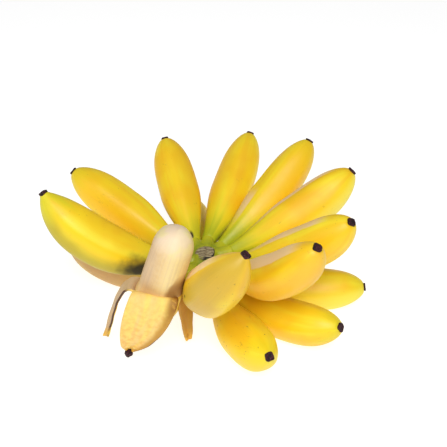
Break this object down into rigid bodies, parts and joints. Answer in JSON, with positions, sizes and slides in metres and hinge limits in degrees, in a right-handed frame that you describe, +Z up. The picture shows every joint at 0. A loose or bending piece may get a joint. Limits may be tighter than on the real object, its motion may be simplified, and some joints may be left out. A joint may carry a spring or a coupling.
{
  "type": "hand of small bananas",
  "caption": "Hand of small ripe bananas curving up round a short cut crown, one of them peeled where it grows with its skin hanging in strips.",
  "frame": {"origin": "on the surface that the hand lies on, under the middle of its bounding box", "axes": "+Z up; -Y towards the side with the peeled banana, which the picture is taken from; +X to that picture's right"},
  "size_m": [0.221, 0.2046, 0.1041],
  "materials": {
    "skin": "satin",
    "crown": "matt",
    "flesh": "matt",
    "peel": "matt"
  },
  "bodies": {
    "root": {"banana_01": "skin", "banana_02": "skin", "banana_03": "skin", "banana_04": "skin", "banana_05": "skin", "banana_06": "skin", "banana_07": "skin", "banana_08": "skin", "banana_09": "skin", "banana_10": "skin", "banana_11": "skin", "banana_12": "skin", "banana_13": "skin", "banana_14": "skin", "banana_15": "skin", "banana_16": "skin", "banana_17": "skin", "crown": "crown", "flesh": "flesh", "peel": "peel"}
  },
  "joints": []
}
